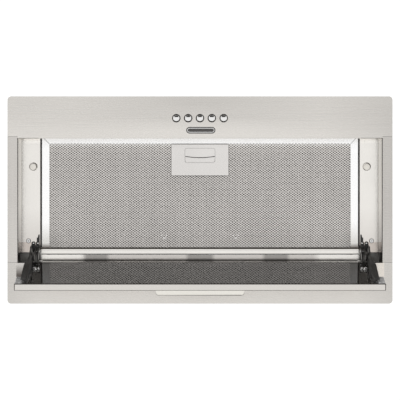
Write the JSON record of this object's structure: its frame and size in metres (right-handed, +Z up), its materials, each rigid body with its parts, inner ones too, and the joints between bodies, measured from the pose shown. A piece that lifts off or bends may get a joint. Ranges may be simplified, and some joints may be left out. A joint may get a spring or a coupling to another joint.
{
  "type": "built-in range hood",
  "caption": "Cabinet insert range hood: steel fascia with push buttons, mesh grease filter, drop-down glass-backed flap, blower box with round duct collar.",
  "frame": {"origin": "centre of the cabinet cut-out, in the plane of the cabinet's underside", "axes": "X to the right seen from below with the buttons at the far side, Y from the button side to the flap's hinge side, Z up into the cabinet"},
  "size_m": [0.52, 0.28, 0.4658],
  "materials": {
    "fascia_steel": "brushed stainless steel, fine grain along the width",
    "recess_steel": "smooth bright stainless steel sheet",
    "casing_steel": "zinc coated steel sheet",
    "fastener_steel": "bright plated steel",
    "hinge_black": "black coated steel",
    "clamp_steel": "zinc plated cast clamp",
    "plug_plastic": "pale grey plastic",
    "filter_aluminium": "bright satin aluminium",
    "handle_plate": "satin pressed plate",
    "flap_glass": "black glossy panel",
    "wheel_plastic": "dark moulded plastic",
    "motor_metal": "painted motor shell",
    "box_plastic": "black moulded plastic",
    "strip_plastic": "white moulded plastic",
    "button_chrome": "polished chrome"
  },
  "bodies": {
    "root": {"fascia_front_rail": "fascia_steel", "fascia_rear_rail": "fascia_steel", "fascia_left_rail": "fascia_steel", "fascia_right_rail": "fascia_steel", "casing_front": "casing_steel", "casing_rear": "casing_steel", "casing_left": "casing_steel", "casing_right": "casing_steel", "casing_top": "casing_steel", "casing_screws": "fastener_steel", "recess_left_panel": "recess_steel", "recess_right_panel": "recess_steel", "recess_front_wall": "recess_steel", "recess_rear_ledge": "recess_steel", "hinge_bracket_left": "hinge_black", "hinge_bracket_right": "hinge_black", "hinge_pins": "fastener_steel", "hinge_screws": "fastener_steel", "clamp_screws": "fastener_steel", "clamp_plugs": "plug_plastic", "upper_box": "casing_steel", "upper_box_lid": "casing_steel", "duct_collar": "casing_steel", "damper_pin": "fastener_steel", "scroll_left": "casing_steel", "scroll_right": "casing_steel", "motor": "motor_metal", "motor_bracket": "casing_steel", "capacitor": "motor_metal", "terminal_box": "box_plastic", "terminal_cover": "box_plastic", "terminal_strip": "strip_plastic", "cable_gland": "box_plastic", "button_rings": "box_plastic", "switch_bank": "box_plastic", "control_tray": "box_plastic"},
    "flap": {"flap_skin": "fascia_steel", "flap_glass": "flap_glass", "flap_tab": "fascia_steel", "hinge_arm_left": "hinge_black", "hinge_arm_right": "hinge_black"},
    "stay_left": {"hinge_stay_left": "hinge_black"},
    "stay_right": {"hinge_stay_right": "hinge_black"},
    "filter": {"filter_front_rail": "filter_aluminium", "filter_rear_rail": "filter_aluminium", "filter_side_rails": "filter_aluminium", "filter_mesh": "filter_aluminium", "filter_handle": "handle_plate"},
    "latch": {"filter_latch": "handle_plate"},
    "wheel": {"blower_wheel": "wheel_plastic", "motor_shaft": "fastener_steel"},
    "damper_front": {"damper_front": "wheel_plastic"},
    "damper_rear": {"damper_rear": "wheel_plastic"},
    "claw_left": {"clamp_claw_left": "clamp_steel"},
    "claw_right": {"clamp_claw_right": "clamp_steel"},
    "button_1": {"button_1": "button_chrome"},
    "button_2": {"button_2": "button_chrome"},
    "button_3": {"button_3": "button_chrome"},
    "button_4": {"button_4": "button_chrome"},
    "button_5": {"button_5": "button_chrome"}
  },
  "joints": [
    {"name": "flap_swing", "type": "hinge", "parent": "root", "child": "flap", "pos_m": [0, 0.08613, 0.00135], "axis": [1, 0, 0], "range_deg": [-99.1, 0]},
    {"name": "stay_left_swing", "type": "hinge", "parent": "root", "child": "stay_left", "pos_m": [-0.225, 0.07, 0.026], "axis": [1, 0, 0], "range_deg": [-84.3, 0]},
    {"name": "stay_right_swing", "type": "hinge", "parent": "root", "child": "stay_right", "pos_m": [0.225, 0.07, 0.026], "axis": [1, 0, 0], "range_deg": [-84.3, 0]},
    {"name": "filter_tilt", "type": "hinge", "parent": "root", "child": "filter", "pos_m": [0, 0.065, 0.0537], "axis": [1, 0, 0], "range_deg": [0, 30]},
    {"name": "latch_slide", "type": "slide", "parent": "filter", "child": "latch", "axis": [0, 1, 0], "range_m": [0, 0.0042], "stiffness_N_per_m": 250, "springref_m": -0.003},
    {"name": "wheel_spin", "type": "hinge", "parent": "root", "child": "wheel", "pos_m": [0, -0.015, 0.1862], "axis": [1, 0, 0], "continuous": true},
    {"name": "damper_front_lift", "type": "hinge", "parent": "root", "child": "damper_front", "pos_m": [0, 0.05306, 0.2804], "axis": [-1, 0, 0], "range_deg": [0, 75]},
    {"name": "damper_rear_lift", "type": "hinge", "parent": "root", "child": "damper_rear", "pos_m": [0, 0.05306, 0.2804], "axis": [1, 0, 0], "range_deg": [0, 75]},
    {"name": "claw_left_slide", "type": "slide", "parent": "root", "child": "claw_left", "axis": [0, 0, 1], "range_m": [-0.006, 0.012]},
    {"name": "claw_right_slide", "type": "slide", "parent": "root", "child": "claw_right", "axis": [0, 0, 1], "range_m": [-0.006, 0.012]},
    {"name": "button_1_press", "type": "slide", "parent": "root", "child": "button_1", "axis": [0, 0, 1], "range_m": [0, 0.003], "stiffness_N_per_m": 400, "springref_m": -0.0015},
    {"name": "button_2_press", "type": "slide", "parent": "root", "child": "button_2", "axis": [0, 0, 1], "range_m": [0, 0.003], "stiffness_N_per_m": 400, "springref_m": -0.0015},
    {"name": "button_3_press", "type": "slide", "parent": "root", "child": "button_3", "axis": [0, 0, 1], "range_m": [0, 0.003], "stiffness_N_per_m": 400, "springref_m": -0.0015},
    {"name": "button_4_press", "type": "slide", "parent": "root", "child": "button_4", "axis": [0, 0, 1], "range_m": [0, 0.003], "stiffness_N_per_m": 400, "springref_m": -0.0015},
    {"name": "button_5_press", "type": "slide", "parent": "root", "child": "button_5", "axis": [0, 0, 1], "range_m": [0, 0.003], "stiffness_N_per_m": 400, "springref_m": -0.0015}
  ],
  "couplings": [
    {"joint": "stay_left_swing", "follows": "flap_swing", "ratio": 0.85},
    {"joint": "stay_right_swing", "follows": "flap_swing", "ratio": 0.85}
  ]
}
